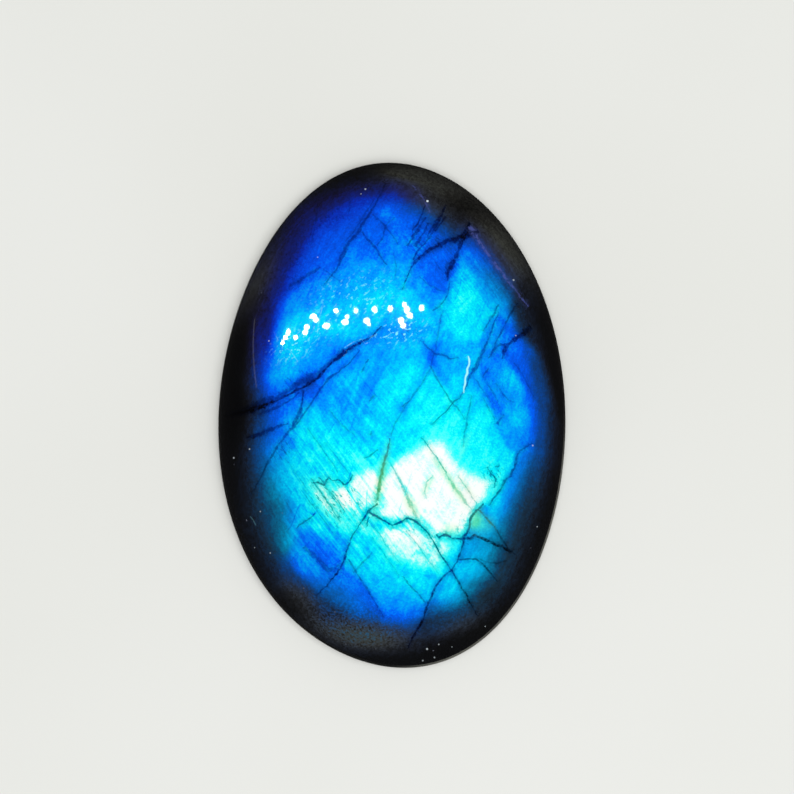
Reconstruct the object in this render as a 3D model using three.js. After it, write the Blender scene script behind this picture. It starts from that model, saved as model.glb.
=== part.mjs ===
// A polished labradorite cabochon: an oval gemstone with a smooth dome, a narrow ground girdle and a flat back.
// Millimetres, +Z up. The origin is the middle of the flat back, +Y runs along the stone and +X across it.
import * as THREE from "three";

// Overall size
const LENGTH = 35;
const WIDTH = 24;
const HEIGHT = 7.5;

// Edge: a small bevel round the flat back, then a girdle that leans in a little as it rises to the dome
const BEVEL_HEIGHT = 0.35;
const BEVEL_INSET = 0.4;
const GIRDLE_TOP = 1.3;
const GIRDLE_INSET = 0.16;

// Dome profile: flat on top, then rolling over to a steep side that still meets the girdle at an angle
const DOME_REACH = 0.985;
const DOME_FLATNESS = 2.2;
const DOME_FULLNESS = 1 / 1.9;

// Hand cutting leaves the oval slightly lopsided: waves of the outline, as shares of its radius
const THREE_SIDED_WAVE = 0.0116;
const THREE_SIDED_TURN = THREE.MathUtils.degToRad(41.6);
const FOUR_SIDED_WAVE = 0.0069;

// Fineness of the faceted solid
const SEGMENTS = 88;
const DOME_RINGS = 22;
const BACK_INNER_SHARE = 0.5;

const ROCK_BLUE = 0x1b5f8f;

// How far the outline stands from a true ellipse, at an angle round the stone.
function lopsided(angle) {
  const threeSided = THREE_SIDED_WAVE * Math.cos(3 * (angle + THREE_SIDED_TURN));
  return 1 + threeSided + FOUR_SIDED_WAVE * Math.sin(4 * angle);
}

// Lowest and highest points of the lopsided unit outline, so that the finished stone can be centred and sized exactly.
function unitExtents() {
  const box = new THREE.Box2();
  for (let i = 0; i < SEGMENTS; i++) {
    const angle = (2 * Math.PI * i) / SEGMENTS;
    const reach = lopsided(angle);
    box.expandByPoint(new THREE.Vector2(reach * Math.cos(angle), reach * Math.sin(angle)));
  }
  return { middle: box.getCenter(new THREE.Vector2()), size: box.getSize(new THREE.Vector2()) };
}

const UNIT = unitExtents();

// A point of the ring that lies a share of the way out to the outline, which is first taken in by an inset.
function ringPoint(angle, share, inset, z) {
  const reach = lopsided(angle);
  const x = (2 * (reach * Math.cos(angle) - UNIT.middle.x)) / UNIT.size.x;
  const y = (2 * (reach * Math.sin(angle) - UNIT.middle.y)) / UNIT.size.y;
  return [share * x * (WIDTH / 2 - inset), share * y * (LENGTH / 2 - inset), z];
}

// Height of the dome over the girdle, from 1 at the top to 0 at the edge.
function domeHeight(share) {
  const rise = (s) => (1 - (DOME_REACH * s) ** DOME_FLATNESS) ** DOME_FULLNESS;
  return (rise(share) - rise(1)) / (1 - rise(1));
}

// The rings of the surface, from the flat back round the edge and up to just under the dome's top.
function surfaceRings() {
  const rings = [
    { share: BACK_INNER_SHARE, inset: BEVEL_INSET, z: 0 },
    { share: 1, inset: BEVEL_INSET, z: 0 },
    { share: 1, inset: 0, z: BEVEL_HEIGHT },
  ];
  for (let i = 0; i < DOME_RINGS; i++) {
    const share = Math.cos((0.5 * Math.PI * i) / DOME_RINGS);
    const z = GIRDLE_TOP + (HEIGHT - GIRDLE_TOP) * domeHeight(share);
    rings.push({ share, inset: GIRDLE_INSET, z });
  }
  return rings;
}

// One closed surface: a fan at the middle of the back, bands between the rings, and a fan at the top.
function cabochonGeometry() {
  const rings = surfaceRings();
  const points = [0, 0, 0];
  for (const { share, inset, z } of rings) {
    for (let i = 0; i < SEGMENTS; i++) {
      points.push(...ringPoint((2 * Math.PI * i) / SEGMENTS, share, inset, z));
    }
  }
  points.push(0, 0, HEIGHT);

  const backMiddle = 0;
  const top = points.length / 3 - 1;
  const at = (ring, i) => 1 + ring * SEGMENTS + (i % SEGMENTS);
  const faces = [];
  for (let i = 0; i < SEGMENTS; i++) {
    faces.push(backMiddle, at(0, i + 1), at(0, i));
    for (let ring = 1; ring < rings.length; ring++) {
      faces.push(at(ring - 1, i), at(ring - 1, i + 1), at(ring, i + 1));
      faces.push(at(ring - 1, i), at(ring, i + 1), at(ring, i));
    }
    faces.push(top, at(rings.length - 1, i), at(rings.length - 1, i + 1));
  }

  const geometry = new THREE.BufferGeometry();
  geometry.setAttribute("position", new THREE.Float32BufferAttribute(points, 3));
  geometry.setIndex(faces);
  geometry.computeVertexNormals();
  return geometry;
}

// Glossy dark stone with a blue flash
const polishedStone = new THREE.MeshStandardMaterial({ color: ROCK_BLUE, roughness: 0.08, metalness: 0 });

const cabochon = new THREE.Mesh(cabochonGeometry(), polishedStone);
cabochon.name = "cabochon";

const stone = new THREE.Group();
stone.add(cabochon);

export default stone;
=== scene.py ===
"""A polished labradorite cabochon on a pale table, seen from above.

The stone is one piece: a fine mesh of its dome, girdle and back. The flash, the healed cracks and the twin
lines are fields worked out on the stone's plan in millimetres, and the materials turn them into colour.
On the plan +X is to the right in the picture and +Y is up. Lengths are in millimetres, unless a comment
says metres.
"""
import math

import bpy
import numpy as np
from mathutils import Matrix, Vector


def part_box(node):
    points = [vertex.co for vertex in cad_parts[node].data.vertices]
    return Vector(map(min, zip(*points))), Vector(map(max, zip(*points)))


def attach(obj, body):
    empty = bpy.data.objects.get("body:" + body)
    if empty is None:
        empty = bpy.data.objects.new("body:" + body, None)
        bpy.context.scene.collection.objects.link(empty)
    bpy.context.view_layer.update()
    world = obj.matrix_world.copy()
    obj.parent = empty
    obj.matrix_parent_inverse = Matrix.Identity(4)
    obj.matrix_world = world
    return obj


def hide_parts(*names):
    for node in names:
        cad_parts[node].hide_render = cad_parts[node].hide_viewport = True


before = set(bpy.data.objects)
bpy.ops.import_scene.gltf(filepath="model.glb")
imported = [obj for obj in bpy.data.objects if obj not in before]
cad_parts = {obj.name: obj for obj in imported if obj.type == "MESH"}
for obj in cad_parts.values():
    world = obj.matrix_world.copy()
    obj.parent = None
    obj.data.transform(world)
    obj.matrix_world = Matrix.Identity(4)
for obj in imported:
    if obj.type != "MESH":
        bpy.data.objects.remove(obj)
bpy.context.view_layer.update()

MM = 0.001

# Stone: the overall size is the CAD node's, and the profile is the one that it was cut to
STONE_LOW, STONE_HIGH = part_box("cabochon")
WIDTH, LENGTH, HEIGHT = ((STONE_HIGH - STONE_LOW) / MM)[:]
GIRDLE_TOP = 1.3
GIRDLE_INSET = 0.16
DOME_REACH = 0.985
DOME_FLATNESS = 2.2
DOME_FULLNESS = 1 / 1.9
THREE_SIDED_WAVE = 0.0116
THREE_SIDED_TURN = math.radians(41.6)
FOUR_SIDED_WAVE = 0.0069
POLISH_WAVE = 0.006
# From the girdle's top, round the small bevel and on to the flat back: (inset, height)
EDGE_PROFILE = [
    (0.135, 1.15), (0.1, 0.95), (0.065, 0.75), (0.035, 0.55), (0.01, 0.42), (0, 0.36), (0.025, 0.31),
    (0.11, 0.24), (0.25, 0.12), (0.35, 0.035), (0.4, 0.006), (0.46, 0),
]

# Fineness of the mesh: ring k of the dome has six times k points, which keeps its triangles about one size
DOME_RINGS = 150
BACK_RINGS = 30
POINTS_PER_RING_STEP = 6
OUTLINE_SAMPLES = 2000
PROFILE_SAMPLES = 4000

# Flat map for baking: how far the steep side is spread out, the size and middle of the front and the back,
# and the height under which a face belongs to the back
SIDE_SPREAD = 1.2
FRONT_MAP_SIZE = 0.98
FRONT_MAP_MIDDLE = (0.36, 0.5)
BACK_MAP_SIZE = 0.4
BACK_MAP_MIDDLE = (0.86, 0.5)
BACK_TOP = 0.37

# Picture: where the stone lies in the photo's frame, in pixels, and how it is looked at
PICTURE_SIDE = 794
PIXELS_PER_MM = 14.5
STONE_MIDDLE_PIXEL = (391.7, 413.4)
CAMERA_DISTANCE = 200
CAMERA_ELEVATION = math.radians(86)
CAMERA_ROLL = math.radians(1.1)
OUTLINE_LEVEL = 0.8
SENSOR_WIDTH = 36

# Light and floor, in metres. Brightness is the light of a lamp's face, where 1 looks white
SOFTBOX_PLACE = Vector((0.07, -0.06, 0.6))
SOFTBOX_SIDE = 0.5
SOFTBOX_BRIGHTNESS = 4.4
ROOM_BRIGHTNESS = 0.4
MIRRORED_ROOM_BRIGHTNESS = 0.02
LAMP_DISTANCE = 0.3
LAMP_BRIGHTNESS = 60
FLOOR_REACH = 2
# How wide a patch of the dome decides where a lamp is mirrored, in mm
MIRROR_REACH = 0.12

# Brightness of the flash down the stone's middle, straight between its turning points: (y, brightness)
FLASH_LEVELS = [(-15, 0.5), (-11.5, 0.66), (-6, 0.74), (0, 0.66), (7, 0.62), (15, 0.41)]
# How fast the flash fades at its edge, per mm inside and outside it, and the share that is left far outside
FADE_INSIDE = 2.3
FADE_OUTSIDE = 1.3
FADE_REST = 0.04
# The flash's edge, drawn with a point where it bends, anticlockwise from its right end
FLASH_EDGE = [
    (10.1, 0.6), (9.6, 3.9), (8.4, 7.4), (6.6, 10.7), (5.4, 11.9), (4.4, 11.8), (2.6, 13.7), (0.4, 15),
    (-2.4, 14.7), (-5, 13.2), (-7, 9.6), (-8.3, 5.2), (-8.8, 2.4), (-8.5, 0.4), (-8.8, -2.6), (-8.1, -7.4),
    (-6.9, -10.8), (-4.4, -13.2), (-2.6, -14.5), (1, -14.7), (4.4, -13.6), (6.6, -11.2), (8.2, -6.6),
    (9.8, -3),
]
# A patch fades from its middle as exp(-distance to this power), with its reach as 1
PATCH_FALL = 2.6
# The dark stone's tone outside the flash, with a painted sheen of reflected light on parts of its rim: (x, y,
# reach along, reach across, turn in degrees, brightness)
BODY_TONE_AND_RIM_SHEEN = [
    (11.4, 0, 1.3, 9, 0, -0.03), (8.8, 10.8, 4.2, 1.5, -55, 0.09), (3, 15.9, 3.6, 1.2, -15, 0.11),
    (-7.5, 12, 5, 1.2, 55, 0.06), (-10.2, 8, 3, 1, 65, 0.08), (-10.3, 2, 1.5, 5.5, 0, -0.06),
    (-3, -15, 3.4, 1.2, -12, 0.12), (3.8, -14, 2, 1, 20, 0.13), (-9.6, -7.5, 1.4, 4.5, 15, 0.01),
]
# Soft patches in the flash: (x, y, reach along, reach across, turn in degrees, change of brightness)
PATCHES = [
    (0, 13.4, 0.7, 0.6, 0, 0.08), (1.4, 11.4, 1.4, 1.2, 0, 0.05), (0.9, 7.8, 3.2, 1.8, 0, 0.07),
    (1.8, 1.6, 3.2, 0.35, 60, -0.07), (3.3, 2.2, 2.4, 0.3, -60, -0.07), (-1.3, 1.8, 2.4, 0.5, 68, -0.05),
    (6.5, 0.6, 2.2, 0.4, -52, -0.06), (8.8, 2.2, 2, 0.35, -58, -0.08), (3.4, 0.6, 1.8, 0.8, 45, 0.04),
    (3.6, 8.4, 1.1, 1, 30, -0.07), (0, 4.8, 1.9, 0.8, 10, -0.05), (-6.6, 5.2, 1.1, 1.7, 0, 0.06),
    (-3.4, 6, 3.4, 1.2, 12, 0.06), (4.8, 6.8, 1.8, 1.2, 80, 0.08), (6.9, 8.4, 2.2, 0.9, -55, -0.09),
    (-4.8, -13.4, 1.8, 0.8, -30, -0.08), (-5.2, 1.2, 0.9, 1, 0, -0.06), (9.9, 2.4, 0.7, 1.4, 0, -0.06),
    (9.9, -1.2, 0.6, 0.8, 0, 0.06), (-5.3, -8.2, 0.9, 0.7, 0, 0.07), (-0.8, -10.3, 0.8, 0.7, 0, 0.06),
    (7, 4.8, 1, 0.8, 60, 0.08), (1.2, 1.6, 2.2, 1.2, 50, 0.06), (4, -0.6, 3, 1.8, -20, 0.07),
    (8.2, 1.8, 1.2, 0.9, -30, 0.1), (8.7, -0.6, 1.2, 1.2, 0, 0.1), (3.2, -2.6, 2, 1.2, -20, 0.09),
    (6.2, -3.6, 2, 1.2, -30, 0.04), (-1.4, -3.4, 1.4, 1, 0, 0.05), (-4.6, -2.9, 2.2, 1, -40, 0.04),
    (-4.3, -6.2, 1.7, 0.8, -54, 0.12), (-7.3, -2.2, 1.2, 1.4, 0, -0.1), (-7.7, -6.6, 1.3, 3.4, 0, -0.07),
    (-2.2, 6.4, 2.4, 1, 0, -0.04), (-4.8, 4.2, 1.4, 1, 0, -0.04), (3.8, 13.7, 1.2, 1, 0, 0.04),
    (-5, 2.2, 3.8, 1.1, 28, -0.11), (-7.8, 0.1, 1.6, 1.1, 20, -0.09), (-5.8, 1.6, 0.8, 0.6, 20, -0.12),
    (2.9, 3.4, 1.2, 0.8, -40, -0.07), (4.2, 9.5, 0.7, 0.45, 70, -0.1), (2.9, 10.9, 1, 0.35, 45, -0.1),
    (2.2, 11.4, 0.9, 0.35, 60, -0.06), (4.7, 11.2, 0.8, 0.5, 60, -0.08), (-8.3, 6, 0.5, 1.9, 0, -0.16),
    (7.1, -6.2, 1.6, 0.6, 75, 0.09), (5.7, -7.8, 0.7, 0.6, -60, 0.11), (5.4, -10.8, 1.2, 0.9, 0, 0.11),
    (3.8, -12.1, 1.2, 0.9, 60, 0.15), (-7.5, -5.6, 0.9, 1.6, 0, -0.05), (-6.5, -10.2, 1.6, 0.8, -55, 0.14),
    (-3.8, -11.9, 0.8, 0.7, -35, -0.06), (-7.6, -7, 1.2, 1, 0, -0.1), (2.9, -8.7, 1.7, 0.8, -20, 0.1),
    (5.4, -5.8, 0.9, 0.7, 0, 0.08), (4.4, -13.3, 2.2, 1, 0, 0.09), (-6.4, 8.6, 1.6, 2.4, 0, -0.05),
    (-4.6, 0.2, 1.8, 1, 0, -0.06), (-8.2, -1.2, 0.7, 0.9, 0, -0.08), (-5.2, -4.3, 0.8, 0.6, 0, -0.07),
    (-2, -7.6, 0.8, 0.7, 60, 0.1), (-0.9, -7.1, 0.9, 0.5, 0, 0.15), (1.4, -12, 1.8, 1.2, -20, 0.06),
]
# Blocks of the crystal that flash more or less than the rest: (change, softness of the edge, outline)
BLOCKS = [
    (0.26, 0.55, [(-0.8, -5), (0.2, -3.6), (1.4, -2.9), (2.6, -2.4), (3.4, -2.7), (4.4, -4.1), (6.6, -5.1),
        (5.6, -6.7), (4.8, -8.4), (3.1, -8.4), (1.6, -7.5), (0.4, -7.5), (-0.7, -7.1)]),
    (0.25, 0.5, [(-3.9, -5.6), (-2.5, -4.5), (-1.2, -4.1), (-0.8, -4.9), (-1, -6.4), (-2, -6.8),
        (-3.3, -6.6)]),
    (0.23, 0.55, [(-1.1, -8.3), (0.1, -7.9), (1.2, -7.9), (2.5, -8.7), (3.6, -9.5), (2.9, -10.9),
        (1.2, -10.6), (-0.3, -9.8)]),
    (-0.1, 0.2, [(6.3, 5.8), (7.4, 6.2), (8.8, 5.2), (9.8, 3), (10.3, 0), (10, -2.6), (8.4, -3.1),
        (7.7, -2.8), (7, -1.6), (6.8, -0.4), (6.2, 1.3), (5.9, 2.9)]),
    (-0.13, 0.35, [(8.4, -3.2), (10, -2.6), (9.4, -6), (8.4, -9), (6.8, -12.5), (4.8, -14.5), (1.5, -14.8),
        (2.2, -13.2), (2.7, -12), (3.8, -10.9), (4.4, -9.9), (4.7, -8.8), (5.1, -7.6), (5.7, -6.9),
        (6.6, -6.5), (7.2, -5.5)]),
    (-0.07, 0.35, [(1.6, -14.6), (2.3, -13), (3.6, -13.2), (5.4, -12.9), (6.4, -12), (6, -15), (2, -16.5)]),
    (-0.15, 0.4, [(-7, -9), (-6.2, -8), (-4.8, -8.2), (-3.4, -9.6), (-3.6, -10.6), (-4.6, -11.8),
        (-6, -12.6), (-7.3, -11)]),
    (-0.05, 0.3, [(-6.2, -8), (-5.4, -7.2), (-3, -8.6), (-3.4, -9.6), (-4.8, -8.4)]),
    (-0.13, 0.35, [(-3.4, -10.5), (-2.3, -11.3), (-1.1, -13.4), (-0.8, -15), (-3.2, -15), (-5.2, -12.5)]),
    (0.05, 0.25, [(5.5, 11.2), (4.9, 10.3), (4.4, 9), (4.2, 7.6), (4, 5.6), (4.4, 4.6), (6, 4.4),
        (7.2, 6.2), (8.2, 7.4), (7.2, 9.4), (6.2, 10.8)]),
    (-0.3, 0.4, [(8.7, 8.4), (8.3, 6.6), (8.5, 5.4), (9, 4.7), (9.8, 4.1), (10.4, 3.2), (10.9, 1.8),
        (11.5, -0.6), (12.5, -1.5), (12.5, 6), (9.5, 9.5)]),
    (-0.07, 0.3, [(2.1, 10.2), (3.4, 11.1), (4.3, 11.2), (4.4, 10), (3.9, 8.7), (2.9, 9.2)]),
    (-0.06, 0.3, [(1.3, 8.4), (1.9, 10), (3, 9.1), (3.9, 8.7), (4, 7.5), (3, 6.6), (1.9, 7.2)]),
    (-0.05, 0.3, [(-2.1, 11.9), (-3.8, 9), (-6, 8.6), (-8, 7), (-7, 10.5), (-4.5, 13.5), (-1.2, 13.4)]),
]

# Where the flash turns from blue to teal, violet, the olive grey of the stone below it, or sandy grains.
# All the patches from here on are (x, y, reach along, reach across, turn in degrees, strength)
TEAL_PATCHES = [
    (-8, -6, 1.8, 3.6, 0, 1), (-7.6, -8.8, 0.9, 1, 0, 0.8), (6.8, -9.4, 3.4, 2.4, 60, 1),
    (4.6, -13, 3, 1.6, 20, 0.8), (7.4, 7.8, 2.6, 0.9, -52, 0.7), (9, -5, 1.4, 2.6, 0, 0.5),
    (-4, -12.5, 2.6, 1.2, -35, 0.4),
]
OLIVE_PATCHES = [
    (-2.4, -15.3, 3.8, 1.1, -10, 1), (-6.6, -12.9, 1.8, 1, -45, 0.7), (3.8, 15.3, 3.8, 1.8, -32, 1),
    (8.3, 11.3, 4.2, 1.4, -56, 1), (0.5, 16.9, 3, 1, 0, 0.9), (-9.4, 8.5, 3.4, 1, 65, 0.9),
    (5, -14.9, 2.4, 0.9, 20, 0.5),
]
SAND_PATCHES = [
    (-3, -14.6, 3.4, 1.3, -12, 1), (4.4, -14, 2.2, 1.2, 20, 0.25), (-6, -13, 1.6, 0.9, -45, 0.3),
]
VIOLET_PATCHES = [
    (-6.9, 10, 4.6, 2.6, 55, 1), (-2.8, 14.2, 4.2, 1.9, 15, 1), (-8.6, 5.5, 1.6, 4, 0, 0.9),
    (1.6, 15, 1.8, 1, 0, 0.7), (6.9, 11.2, 2.6, 1.2, -50, 0.5),
]
# Where the flash is crossed by twin lines, and where pits, polish marks with painted glints of the lamps, and
# dust with painted sparkle show
TWIN_PATCHES = [
    (-4, -6.5, 4, 5, 0, 1), (1, -7, 3.4, 4, 0, 0.7), (-2, 0.5, 5, 3, 0, 0.35), (5.5, 8, 3, 3.5, 0, 0.5),
    (2.5, 11.5, 1.6, 1.6, 0, 0.5),
]
STIPPLE_PATCHES = [
    (-4.3, -6.2, 1.9, 1, -54, 0.55), (-2.8, -6, 0.9, 0.6, -54, 0.35), (4.9, -8.4, 1.2, 0.8, 60, 0.3),
    (5.2, -8.7, 0.6, 0.35, 20, 0.6), (6.8, -4.6, 0.7, 0.7, 0, 0.5), (-5.9, 2.1, 1.3, 0.45, 15, 0.7),
    (-8.2, 0.7, 1, 0.4, 15, 0.5), (-7.3, -2.7, 1.1, 0.8, 60, 0.4), (-3, 3.9, 1.2, 0.3, 30, 0.4),
    (-6.3, 8.7, 1.1, 0.5, 25, 0.35), (-6.5, 10.6, 2.6, 0.9, 58, 0.45), (-3.6, 13.4, 2, 0.8, 25, 0.3),
    (-8.4, 6.3, 1.8, 0.45, 85, 0.3), (4.3, 9.8, 1.4, 0.45, 65, 0.5), (3.4, 11.2, 1.4, 0.45, 30, 0.4),
    (7, 0.6, 1, 1.6, 0, 0.2), (1.6, -8.2, 1.6, 0.5, -40, 0.25), (0.8, 4.9, 1.4, 0.5, 10, 0.35),
]
SCRATCH_GLINT_PATCHES = [
    (-6.5, 4.4, 1.3, 0.9, 30, 1), (-4.2, 5.6, 1.4, 0.9, 0, 0.55), (0.7, 5.1, 1.7, 0.8, 10, 1),
    (-1.6, 6.6, 1.6, 0.6, 0, 0.5), (-2.4, 7.7, 2.6, 1.3, 10, 0.55),
]
DUST_AND_SPARKLE_PATCHES = [
    (-9, -6.5, 1.6, 5, 5, 1), (-6.6, -12.2, 3.4, 1.2, -45, 0.8), (1.5, -16.2, 4.5, 1.2, 0, 1),
    (7.6, -12, 3, 1, 55, 0.5), (-3, -14.8, 3, 1, -10, 0.6), (-8.4, 6, 0.6, 3, 0, 0.4),
    (8.5, 7.5, 0.8, 3, 20, 0.4),
]
# Where healed cracks look yellow green
GREEN_PATCHES = [
    (-0.8, -4.9, 2, 0.3, 78, 0.8), (3.5, -4.5, 1.6, 0.25, -54, 0.6), (4.4, -5.9, 1, 0.25, -54, 0.6),
    (1.2, -6.6, 0.9, 0.35, -60, 0.7), (2.3, -5.3, 0.8, 0.25, 60, 0.5), (4.9, -5.4, 0.9, 0.2, -54, 0.4),
    (5.55, -7.6, 0.7, 0.3, 70, 0.8), (6, -7.9, 0.8, 0.6, 0, 0.5), (3.8, -8.2, 0.6, 0.4, 0, 0.5),
    (-4.2, -6.2, 1.8, 0.8, -54, 0.15), (4.9, -2.6, 0.8, 0.2, 70, 0.2),
]

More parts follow.
